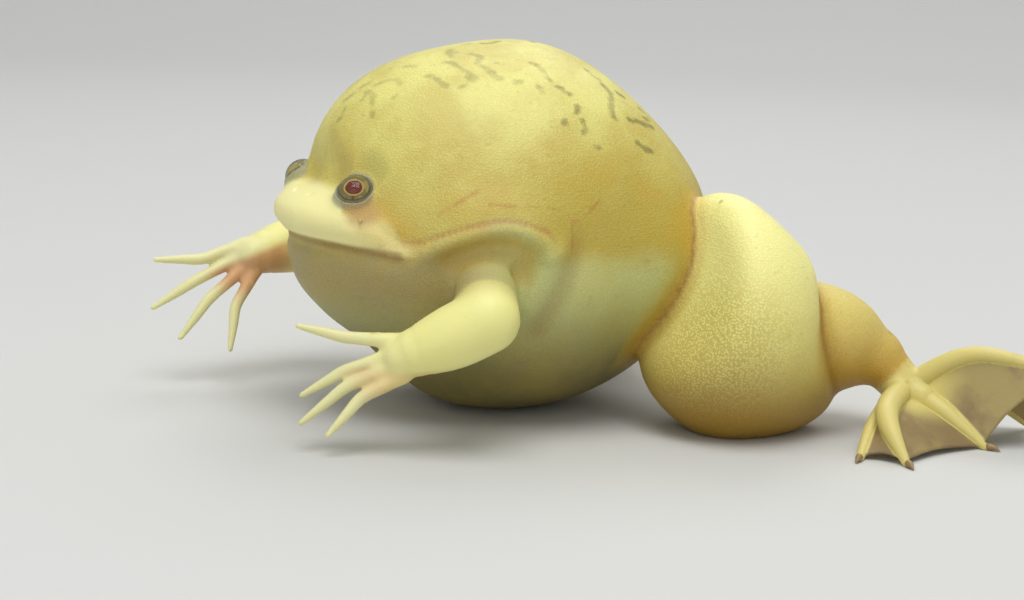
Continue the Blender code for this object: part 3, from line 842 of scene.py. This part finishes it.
def line_mask(points, stops, radii):
    """1 within the radius of a bone line, fading out just past it."""
    mask = np.zeros(len(points))
    for a, near, b, far in zip(stops, radii, stops[1:], radii[1:]):
        along = np.clip((points - a) @ (b - a) / ((b - a) @ (b - a)), 0, 1)
        gap = np.linalg.norm(points - a - along[:, None] * (b - a), axis=1)
        radius = near + (far - near) * along
        mask = np.maximum(mask, between(gap / radius, 1.45, 1.12))
    return mask


def arm_masks(points):
    """Where the forearms and hands lie, and the inner sides of the palms."""
    arms, palms = np.zeros(len(points)), np.zeros(len(points))
    for side, parts in ARMS.items():
        stops = [np.array(parts[stop]) for stop in ("elbow", "forearm", "wrist", "palm")]
        bones = [(stops, [ELBOW, FOREARM, WRIST, 5])]
        bones += [([stops[3], *map(np.array, finger)], [4, 3, 2.5]) for finger in parts["fingers"]]
        arms = np.maximum.reduce([arms, *[line_mask(points, *bone) for bone in bones]])
        centre = stops[2] + (stops[3] - stops[2]) * 0.2
        depth = (points - centre) @ np.array((0.35 if side == RIGHT else 0.21, -0.25 * side, -0.97))
        start, share = (-1.4, 1.0) if side == RIGHT else (0.0, 0.45)
        near = between(spacing(points, centre), 14, 7)
        palms = np.maximum(palms, near * between(depth, start, start + 2.4) * share)
    return arms, palms * arms


def seam(one, other, width):
    """1 where two parts of the skin meet, fading over the width. Takes the distances to both parts."""
    return np.exp(-(((one - other) / width) ** 2)) * between(np.maximum(one, other), 6.0, 3.0)


def paint(made, painted):
    """Stores where each colour of the skin lies, worked out from the frog's own shape."""
    mesh = made.data
    points = np.empty(len(mesh.vertices) * 3)
    mesh.vertices.foreach_get("co", points)
    points = points.reshape(-1, 3) / MM
    x, y, z = points.T
    y = np.abs(y)
    sided = np.stack((x, y, z), axis=1)
    trunk = np.minimum(gap_to(points, ball()), gap_to(points, upper_jaw()))
    thighs, shanks, feet = [
        np.minimum(*[gap_to(points, build(side)) for side in BOTH]).clip(max=FAR)
        for build in (thigh, shank, foot)
    ]
    toes = []
    for number in range(len(TOES)):
        path = smooth_path([(*point, radius) for point, radius in toe_stops(RIGHT, number)], 16)
        toes += [distance_to(sided, [stop], 12) - stop[3] for stop in path]
    arms, palms = arm_masks(points)
    down = np.array(HEEL) - np.array(ANKLE)
    past_ankle = (sided - np.array(ANKLE)) @ (down / np.linalg.norm(down))
    leg = np.minimum(thighs, shanks)
    flank_edge = 41.5 + 8.5 * np.exp(-(((x + 21) / 11) ** 2)) * between(y, 20, 30)
    top, lip = [np.interp(y, *zip(*edge)) for edge in (SNOUT_TOP, SNOUT_LIP)]
    on_snout = between(z, top + 1.1, top - 1.1) * between(z, lip - 0.3, lip + 0.3) * between(x, -35, -39)
    on_foot = between(feet, 0.5, 0.2) * between(np.minimum(leg, trunk), 0.4, 1.0)
    on_leg = between(trunk - leg, -0.3, 0.6)
    masks = painted | {
        "arm": arms * between(spacing(sided, ARMS[RIGHT]["shoulder"]), 14.5, 22.5),
        "palm": palms,
        "hand": arms * between(x, -41, -53),
        "thigh": on_leg * between(shanks - thighs, -0.5, 0.5),
        "shank": on_leg * between(thighs - shanks, -0.5, 0.5),
        "foot": on_foot * between(past_ankle, -5.0, 3.0),
        "toe_distance": np.clip(np.minimum.reduce(toes), -1, 4),
        "heel_distance": np.minimum(spacing(sided, HEEL), 40),
        # Painted shade: a dark line in the creases where the legs meet the trunk and the thighs meet the
        # shanks; the wider band beside them carries a golden tone and more painted shade.
        "crease_shade": np.maximum(seam(trunk, leg, 0.9), seam(thighs, shanks, 0.8)),
        "beside_crease": np.maximum(seam(trunk, leg, 4.0), seam(thighs, shanks, 3.0)),
        "below": np.clip(flank_edge - z, -10, 10),
        "trunk": (1 - on_leg) * (1 - on_foot) * (0.2 + 0.8 * between(thighs, 1.5, 9.0)),
        "throat": between(x, -14, -34),
        "snout": (1 - 0.4 * between(x, -50, -43)) * on_snout,
        "grainy": on_leg * between(spacing(sided, (22, 57, 22)), 25, 7),
        "eye_halo": between(spacing(sided, BELOW_EYE), 5.5, 1.5),
        "eye_skin": between(spacing(sided, EYE_CENTRE), 5.6, 4.7),
    }
    for name, values in masks.items():
        layer = mesh.attributes.new(name, "FLOAT", "POINT")
        layer.data.foreach_set("value", values.astype(np.float32))


class Nodes:
    """Short ways to place and link the shader nodes of one material or group."""

    def __init__(self, tree):
        self.tree = tree

    def add(self, kind, inputs=None, **settings):
        node = self.tree.nodes.new(kind)
        for key, value in settings.items():
            setattr(node, key, value)
        for key, value in (inputs or {}).items():
            self.feed(node.inputs[key], value)
        return node

    def feed(self, socket, value):
        if isinstance(value, bpy.types.NodeSocket):
            self.tree.links.new(value, socket)
        else:
            socket.default_value = value

    def math(self, operation, *values):
        inputs = dict(enumerate(values))
        return self.add("ShaderNodeMath", inputs, operation=operation).outputs[0]

    def attribute(self, name):
        return self.add("ShaderNodeAttribute", attribute_name=name).outputs["Fac"]

    def rise(self, value, low, high, start=0.0, end=1.0):
        """Maps the value smoothly from low..high to start..end."""
        inputs = {"Value": value, "From Min": low, "From Max": high, "To Min": start, "To Max": end}
        return self.add("ShaderNodeMapRange", inputs, interpolation_type="SMOOTHSTEP").outputs["Result"]

    def mix(self, share, under, over, blend="MIX"):
        node = self.add("ShaderNodeMix", data_type="RGBA", blend_type=blend)
        self.feed(node.inputs[0], share)
        self.feed(node.inputs[6], under)
        self.feed(node.inputs[7], over)
        return node.outputs[2]

    def times(self, *values):
        """The product of the values."""
        product = values[0]
        for value in values[1:]:
            product = self.math("MULTIPLY", product, value)
        return product

    def waver(self, value, noise, amount):
        """The value, moved up and down by half the amount by the noise."""
        return self.math("ADD", value, self.times(self.math("SUBTRACT", noise, 0.5), amount))

    def vector(self, operation, inputs):
        return self.add("ShaderNodeVectorMath", inputs, operation=operation).outputs[0]

    def noise(self, scale, detail=3.0, rough=0.5, where=None):
        if where is None:
            where = self.add("ShaderNodeTexCoord").outputs["Object"]
        inputs = {"Vector": where, "Scale": scale, "Detail": detail, "Roughness": rough}
        return self.add("ShaderNodeTexNoise", inputs).outputs["Fac"]

    def group(self, name, build, inputs):
        """Places a shared node group, built the first time, with this material's own values."""
        shared = bpy.data.node_groups.get(name) or build()
        return self.add("ShaderNodeGroup", inputs, node_tree=shared).outputs


def linear(colour):
    """The shader's colour for one given as screen values."""
    return (*[((c + 0.055) / 1.055) ** 2.4 if c > 0.04 else c / 12.92 for c in colour], 1.0)


def new_material(name, values=None):
    """A material with these values set straight on its shader. Gives it, its nodes and its shader."""
    made = bpy.data.materials.new(name)
    made.use_nodes = True
    shader = made.node_tree.nodes["Principled BSDF"]
    for key, value in (values or {}).items():
        shader.inputs[key].default_value = value
    return made, Nodes(made.node_tree), shader


def new_group(name, numbers, results):
    """A node group with a vector and these numbers going in, and the named results coming out."""
    group = bpy.data.node_groups.new(name, "ShaderNodeTree")
    group.interface.new_socket("Vector", in_out="INPUT", socket_type="NodeSocketVector")
    for key, value in numbers.items():
        socket = group.interface.new_socket(key, in_out="INPUT", socket_type="NodeSocketFloat")
        socket.default_value = value
    for key in results:
        group.interface.new_socket(key, in_out="OUTPUT", socket_type="NodeSocketFloat")
    n = Nodes(group)
    return n, n.add("NodeGroupInput").outputs, n.add("NodeGroupOutput").inputs


def grain_group():
    """Pebbled skin as a group: rounded grains of an even size, with their hollows."""
    n, given, result = new_group("skin_grain", {"Scale": 1000.0, "Warp": 0.0006}, ("Height", "Hollow"))
    bend = n.add("ShaderNodeTexNoise", {"Vector": given["Vector"], "Scale": 300.0, "Detail": 1.0})
    centred = n.vector("SUBTRACT", {0: bend.outputs["Color"], 1: (0.5, 0.5, 0.5)})
    moved = n.vector("SCALE", {0: centred, "Scale": given["Warp"]})
    where = n.vector("ADD", {0: given["Vector"], 1: moved})
    inputs = {"Vector": where, "Scale": given["Scale"], "Smoothness": 0.2, "Randomness": 0.75}
    cells = n.add("ShaderNodeTexVoronoi", inputs, feature="SMOOTH_F1")
    n.feed(result["Height"], n.rise(cells.outputs["Distance"], 0.62, 0.1))
    n.feed(result["Hollow"], n.rise(cells.outputs["Distance"], 0.26, 0.62))
    return n.tree


def mottle_group():
    """Soft blotches and fine speckles as a group."""
    n, given, result = new_group("mottle", {"Scale": 60.0}, ("Blotches", "Speckles"))
    broad = n.noise(given["Scale"], 4.0, 0.62, given["Vector"])
    fine = n.noise(n.times(given["Scale"], 11.0), 3.0, 0.6, given["Vector"])
    n.feed(result["Blotches"], n.rise(broad, 0.34, 0.66))
    n.feed(result["Speckles"], n.rise(fine, 0.58, 0.74))
    return n.tree


def skin_material(colours, relief_height):
    """Wet, finely pebbled skin: pale yellow on the back, golden on the flanks and olive grey below, with
    painted shade low down and in creases and grain hollows.
    """
    finish = {
        "Subsurface Weight": 0.18,
        "Subsurface Radius": (1.0, 0.62, 0.25),
        "Subsurface Scale": 0.003,
        "Coat Weight": 0.06,
        "Coat Roughness": 0.3,
    }
    made, n, shader = new_material("frog_skin", finish)
    at, rise = n.attribute, n.rise
    where = n.add("ShaderNodeTexCoord").outputs["Object"]
    axes = n.add("ShaderNodeSeparateXYZ", {0: where}).outputs
    along, height = axes["X"], axes["Z"]
    grain = n.group("skin_grain", grain_group, {"Vector": where, "Scale": 1650.0, "Warp": 0.0006})
    blotches, speckles = n.group("mottle", mottle_group, {"Vector": where, "Scale": 62.0}).values()

    def near(name, far, close, wobble=0.0):
        """1 at a painted line and 0 away from it, in millimetres, with a wavering edge."""
        gap = at(f"{name}_distance")
        if wobble:
            gap = n.waver(gap, n.noise(520.0), wobble)
        return rise(gap, far, close)

    def laid(colour, *coats):
        """The colour under its coats, each a colour's name and the shares that multiply to its strength."""
        for name, *shares in coats:
            colour = n.mix(n.times(*shares), colour, linear(getattr(colours, name)))
        return colour

    low_flank = n.times(rise(height, 0.078, 0.050), rise(along, -0.046, -0.020, 0.6, 1.0))
    over = laid(
        linear(colours.back),
        ("flank", blotches, 0.45),
        ("flank", low_flank, 0.85),
        ("blush", near("cheek", 9.5, 1.0), 0.75),
        ("blush", rise(blotches, 0.5, 1.0), low_flank, 0.35),
    )
    under = laid(
        linear(colours.belly),
        # Painted shade: the belly grows darker towards the floor.
        ("belly_low_shade", rise(height, 0.038, 0.010)),
        ("throat", at("throat"), rise(height, 0.02, 0.034), 0.8),
        ("flank", blotches, 0.25),
    )
    below = rise(n.waver(at("below"), n.noise(110.0, 4.0, 0.6), 9.0), -4.0, 4.6)
    trunk = laid(
        n.mix(n.times(below, at("trunk")), over, under),
        ("blush", near("hollow", 5.2, 0.4), 0.5),
        ("shade", near("furrow", 4.0, 0.4), 0.3),
        ("vein", near("fold", 1.3, 0.2, 0.8), 0.5),
        ("vein", near("vein", 0.75, 0.15, 0.9), rise(blotches, 0.1, 0.7), 0.4),
    )
    # Pale on top of the thighs, darker and more orange low down: partly the legs' own golden tone, partly
    # painted light and shade.
    thigh = laid(
        linear(colours.thigh),
        ("thigh_middle", rise(height, 0.044, 0.026)),
        ("thigh_low", rise(height, 0.028, 0.004)),
    )
    shank = laid(linear(colours.shank), ("shank_low", rise(height, 0.034, 0.010)))
    on_web = n.times(rise(at("toe_distance"), 0.05, 0.6), rise(at("heel_distance"), 7.0, 17.0))
    marked = n.times(near("mark", 0.5, -0.55, 1.7), rise(along, -0.036, -0.014, 0.6, 1.0))
    colour = laid(
        n.mix(at("shank"), n.mix(at("thigh"), trunk, thigh), shank),
        ("blush", at("beside_crease"), 0.5),
        # Painted shade on the lower thighs beside the creases.
        ("thigh_low", at("beside_crease"), rise(height, 0.046, 0.022), 0.6),
        # Painted shade in the creases between trunk, thighs and shanks.
        ("crease_shade", at("crease_shade"), 0.75),
        ("arm", at("arm")),
        ("hand", at("hand"), 0.8),
        ("palm", at("palm"), 0.7),
        ("foot", at("foot")),
        ("web", at("foot"), on_web, rise(blotches, 0.0, 1.0, 0.95, 0.65)),
        ("snout", at("snout")),
        ("eye_skin", at("eye_skin"), 0.75),
        ("halo", at("eye_halo"), 0.6),
        ("shade", near("lip", 1.9, 0.2), 0.62),
        ("marks", marked, rise(blotches, 0.0, 0.6, 0.45, 0.75)),
    )
    plain = n.math("SUBTRACT", 1.0, n.math("MAXIMUM", at("snout"), at("arm")))
    plain = n.times(plain, n.math("SUBTRACT", 1.0, at("foot")))
    grainy = n.math("ADD", n.times(plain, 0.13), n.times(at("grainy"), 0.34))
    # The darker net between the pale grains: partly the skin's own pattern, partly painted shade in the
    # grains' hollows.
    pitted = n.mix(1.0, colour, linear(colours.hollows), "MULTIPLY")
    colour = n.mix(n.times(grain["Hollow"], grainy), colour, pitted)
    n.feed(shader.inputs["Base Color"], laid(colour, ("marks", speckles, plain, 0.16)))
    n.feed(shader.inputs["Roughness"], rise(speckles, 0.0, 1.0, 0.5, 0.62))
    relief = n.times(grain["Height"], n.math("ADD", n.times(plain, 0.75), 0.12))
    relief = n.math("ADD", relief, n.times(n.noise(900.0, 2.0), 0.5))
    bump = n.add("ShaderNodeBump", {"Height": relief, "Strength": 0.45, "Distance": relief_height})
    n.feed(shader.inputs["Normal"], bump.outputs["Normal"])
    return made


def tint(description, value):
    """A colour setting, given as screen values from 0 to 255."""
    return bpy.props.FloatVectorProperty(
        name=description.capitalize(),
        description=f"Colour of the {description}",
        default=[part / 255 for part in value],
        min=0.0,
        max=1.0,
        subtype="COLOR_GAMMA",
    )


def length(name, description, millimetres):
    """A length setting, given in millimetres and kept in metres."""
    return bpy.props.FloatProperty(
        name=name, description=description, default=millimetres * MM, min=0.0, precision=5, unit="LENGTH"
    )


class FrogSizes(bpy.types.PropertyGroup):
    """Sizes of the eyes and claws, the skin's relief and the camera's distance."""

    eye_radius: length("Eye radius", "Radius of the clear dome of each eye", 4.3)
    claw_length: length("Claw length", "How far each claw stands out from its toe", 2.6)
    skin_relief: length("Skin relief", "Height of the fine grain of the skin", 0.22)
    camera_distance: length("Camera distance", "How far the camera is from the frog", 480.0)


class FrogColours(bpy.types.PropertyGroup):
    """Colours of the skin, eyes and claws."""

    back: tint("back", (232, 226, 134))
    flank: tint("flank", (190, 166, 62))
    blush: tint("orange of the cheeks", (210, 172, 68))
    belly: tint("belly", (200, 203, 133))
    # Painted shade of the underside, darker towards the floor.
    belly_low_shade: tint("underside", (128, 118, 65))
    # Top, middle and low colours of the thighs: partly the legs' own golden tone, partly painted light and
    # shade from above.
    thigh: tint("top of the thighs", (252, 246, 162))
    thigh_middle: tint("middle of the thighs", (236, 226, 136))
    thigh_low: tint("lower thighs", (164, 128, 34))
    shank: tint("top of the shanks", (226, 208, 118))
    shank_low: tint("lower shanks", (198, 156, 60))
    # Painted shade in the creases.
    crease_shade: tint("creases", (158, 112, 22))
    arm: tint("forearms", (237, 232, 150))
    hand: tint("hands", (224, 220, 168))
    palm: tint("palms", (206, 128, 84))
    foot: tint("feet", (214, 200, 120))
    web: tint("webs", (130, 108, 73))
    snout: tint("snout", (244, 236, 166))
    halo: tint("thin skin below the eyes", (184, 142, 92))
    eye_skin: tint("thin skin over the eyeballs", (150, 152, 126))
    throat: tint("throat", (160, 140, 94))
    marks: tint("marks", (124, 114, 50))
    shade: tint("hollows and line of the mouth", (146, 108, 50))
    vein: tint("veins", (176, 112, 62))
    # Darker net between the grains: partly the skin's own pattern, partly painted shade in their hollows.
    hollows: tint("hollows between the grains", (186, 166, 100))
    iris: tint("iris", (140, 124, 70))
    iris_ring: tint("ring round the pupil", (214, 184, 104))
    pupil: tint("pupil", (120, 48, 28))
    eye_edge: tint("dark edge of the iris", (84, 80, 62))
    claw: tint("claws", (150, 122, 80))


class FROG_OT_skin(bpy.types.Operator):
    """Build the frog's skin in one piece"""

    bl_idname = "frog.skin"
    bl_label = "Build skin"

    def execute(self, context):
        shape = skin_shape()
        painted = sculpt(shape)
        flattened(shape)
        skin = object_from(shape, "skin")
        paint(skin, painted)
        skin.data.transform(Matrix.Translation(ORIGIN))
        skin.data.shade_smooth()
        relief = context.scene.frog_sizes.skin_relief
        skin.data.materials.append(skin_material(context.scene.frog_colours, relief))
        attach(skin, "root")
        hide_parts(*FLESH_NODES)
        return {"FINISHED"}


def iris_shape(centre, axis, radius):
    """The coloured ball inside the eye, flattened in front to the shallow bowl of the iris."""
    shape = bmesh.new()
    bmesh.ops.create_uvsphere(shape, u_segments=72, v_segments=64, radius=radius / MM * 0.975)
    for vert in shape.verts:
        flat = 2.1 - 0.03 * (vert.co.x**2 + vert.co.y**2)
        vert.co.z = min(vert.co.z, flat)
    off_axis = shape.verts.layers.float.new("off_axis")
    notch = shape.verts.layers.float.new("notch")
    for vert in shape.verts:
        vert[off_axis] = math.hypot(vert.co.x, vert.co.y) + (5 if vert.co.z < 0 else 0)
        vert[notch] = math.hypot(vert.co.x - 0.2, max(0, abs(vert.co.y + 2.4) - 0.7))
    turn = axis.to_track_quat("Z", "Y").to_matrix().to_4x4()
    place = Matrix.Translation(centre * MM + ORIGIN) @ turn @ Matrix.Scale(MM, 4)
    bmesh.ops.transform(shape, matrix=place, verts=shape.verts)
    return shape


def iris_material(colours):
    """A red-brown pupil in a thin gold ring, a speckled olive iris and a dark edge."""
    made, n, shader = new_material("iris", {"Roughness": 0.5, "Specular IOR Level": 0.15})
    where = n.add("ShaderNodeTexCoord").outputs["Object"]
    blotches = n.group("mottle", mottle_group, {"Vector": where, "Scale": 380.0})["Blotches"]
    gap = n.waver(n.attribute("off_axis"), blotches, 0.22)
    colour = n.mix(n.rise(blotches, 0.35, 0.75), linear(colours.iris), linear(colours.iris_ring))
    colour = n.mix(0.45, linear(colours.iris), colour)
    for name, share in (
        ("pupil", n.times(n.rise(n.attribute("notch"), 0.45, 0.15), 0.7)),
        ("eye_skin", n.rise(gap, 3.2, 3.5)),
        ("eye_edge", n.times(n.rise(gap, 2.9, 3.1), n.rise(gap, 3.45, 3.25), 0.85)),
        ("iris_ring", n.rise(gap, 1.94, 1.8)),
        ("pupil", n.rise(gap, 1.68, 1.54)),
    ):
        colour = n.mix(share, colour, linear(getattr(colours, name)))
    n.feed(shader.inputs["Base Color"], colour)
    return made


def cornea_material():
    """The clear wet dome of the eye."""
    finish = {
        "Base Color": (0.86, 0.90, 0.92, 1.0),
        "Roughness": 0.03,
        "IOR": 1.34,
        "Transmission Weight": 1.0,
    }
    return new_material("cornea", finish)[0]


class FROG_OT_eyes(bpy.types.Operator):
    """Build the two eyeballs: an iris under a clear dome"""

    bl_idname = "frog.eyes"
    bl_label = "Build eyes"

    def execute(self, context):
        iris, cornea = iris_material(context.scene.frog_colours), cornea_material()
        radius = context.scene.frog_sizes.eye_radius
        for word, side in SIDES.items():
            centre, axis = side_of(EYE_CENTRE, side), eye_axis(side)
            dome = bmesh.new()
            bmesh.ops.create_icosphere(dome, subdivisions=5, radius=radius)
            place = Matrix.Translation(centre * MM + ORIGIN)
            bmesh.ops.transform(dome, matrix=place, verts=dome.verts)
            ball_inside = iris_shape(centre, axis, radius)
            pieces = {f"eyeball_{word}": (ball_inside, iris), f"cornea_{word}": (dome, cornea)}
            for name, (shape, finish) in pieces.items():
                piece = object_from(shape, name)
                piece.data.shade_smooth()
                piece.data.materials.append(finish)
                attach(piece, "root")
            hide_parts(f"eye_{word}")
        return {"FINISHED"}


class FROG_OT_claws(bpy.types.Operator):
    """Build the small horn-coloured claws on the inner toes of the hind feet"""

    bl_idname = "frog.claws"
    bl_label = "Build claws"

    def execute(self, context):
        colour = linear(context.scene.frog_colours.claw)
        finish = new_material("claw_horn", {"Base Color": colour, "Roughness": 0.35})[0]
        for word, side in SIDES.items():
            for number in range(CLAWED_TOES):
                shape = claw(side, number, context.scene.frog_sizes.claw_length / MM)
                flattened(shape)
                horn = object_from(shape, f"horn_{word}_{number + 1}")
                horn.data.transform(Matrix.Translation(ORIGIN))
                horn.data.shade_smooth()
                horn.data.materials.append(finish)
                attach(horn, "root")
                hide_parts(f"claw_{word}_{number + 1}")
        return {"FINISHED"}


def studio_bowl():
    """A level round floor that curves up into a pale wall far from the frog."""
    shape = bmesh.new()
    bmesh.ops.create_grid(shape, x_segments=90, y_segments=90, size=FLOOR_HALF)
    for vert in shape.verts:
        out = max(0.0, vert.co.xy.length - FLOOR_LEVEL)
        vert.co.z = FLOOR_RISE * out**2
    return shape


class FROG_OT_stage(bpy.types.Operator):
    """Lay the floor, set the lights and place the camera"""

    bl_idname = "frog.stage"
    bl_label = "Set stage"

    def execute(self, context):
        floor = object_from(studio_bowl(), "floor")
        floor.data.shade_smooth()
        floor.data.materials.append(new_material("studio_floor", FLOOR_FINISH)[0])
        world = bpy.data.worlds.new("studio")
        world.use_nodes = True
        for key, value in SKY.items():
            world.node_tree.nodes["Background"].inputs[key].default_value = value
        context.scene.world = world
        for name, place, size, power in LIGHTS:
            light = bpy.data.lights.new(name, "AREA")
            light.size = size
            light.energy = power
            lamp = bpy.data.objects.new(name, light)
            lamp.location = place
            aim = Vector(LIGHT_AIM) - Vector(place)
            lamp.rotation_euler = aim.to_track_quat("-Z", "Y").to_euler()
            context.scene.collection.objects.link(lamp)
        context.scene.view_settings.view_transform = "Standard"
        place_camera(context.scene.frog_sizes.camera_distance)
        return {"FINISHED"}


def place_camera(distance):
    """The photograph's own view: from the frog's left and a little ahead, just above its back's height."""
    lens = bpy.data.cameras.new("photo_view")
    lens.lens = CAMERA_LENS
    lens.sensor_width = 36.0
    lens.clip_start = 0.01
    camera = bpy.data.objects.new("photo_view", lens)
    turn = Matrix.Rotation(CAMERA_AZIMUTH, 4, "Z") @ Matrix.Rotation(math.radians(90) - CAMERA_HEIGHT, 4, "X")
    turn @= Matrix.Rotation(CAMERA_ROLL, 4, "Z")
    aim = Matrix.Translation(Vector(CAMERA_AIM) * MM + ORIGIN)
    camera.matrix_world = aim @ turn @ Matrix.Translation((0, 0, distance))
    bpy.context.scene.collection.objects.link(camera)
    bpy.context.scene.camera = camera


class FROG_PT_panel(bpy.types.Panel):
    """Lists the frog's settings and the steps that build it"""

    bl_idname = "FROG_PT_panel"
    bl_label = "Clawed Frog"
    bl_space_type = "VIEW_3D"
    bl_region_type = "UI"
    bl_category = "Frog"

    def draw(self, context):
        for group, kind in ((context.scene.frog_sizes, FrogSizes), (context.scene.frog_colours, FrogColours)):
            for name in kind.__annotations__:
                self.layout.prop(group, name)
        for step in STEPS:
            self.layout.operator(step.bl_idname)


STEPS = (FROG_OT_skin, FROG_OT_eyes, FROG_OT_claws, FROG_OT_stage)
CLASSES = (FrogSizes, FrogColours, *STEPS, FROG_PT_panel)


def register():
    for each in CLASSES:
        bpy.utils.register_class(each)
    bpy.types.Scene.frog_sizes = bpy.props.PointerProperty(type=FrogSizes)
    bpy.types.Scene.frog_colours = bpy.props.PointerProperty(type=FrogColours)


def unregister():
    del bpy.types.Scene.frog_colours
    del bpy.types.Scene.frog_sizes
    for each in reversed(CLASSES):
        bpy.utils.unregister_class(each)


def main():
    register()
    bpy.ops.frog.skin()
    bpy.ops.frog.eyes()
    bpy.ops.frog.claws()
    bpy.ops.frog.stage()


if __name__ == "__main__":
    main()
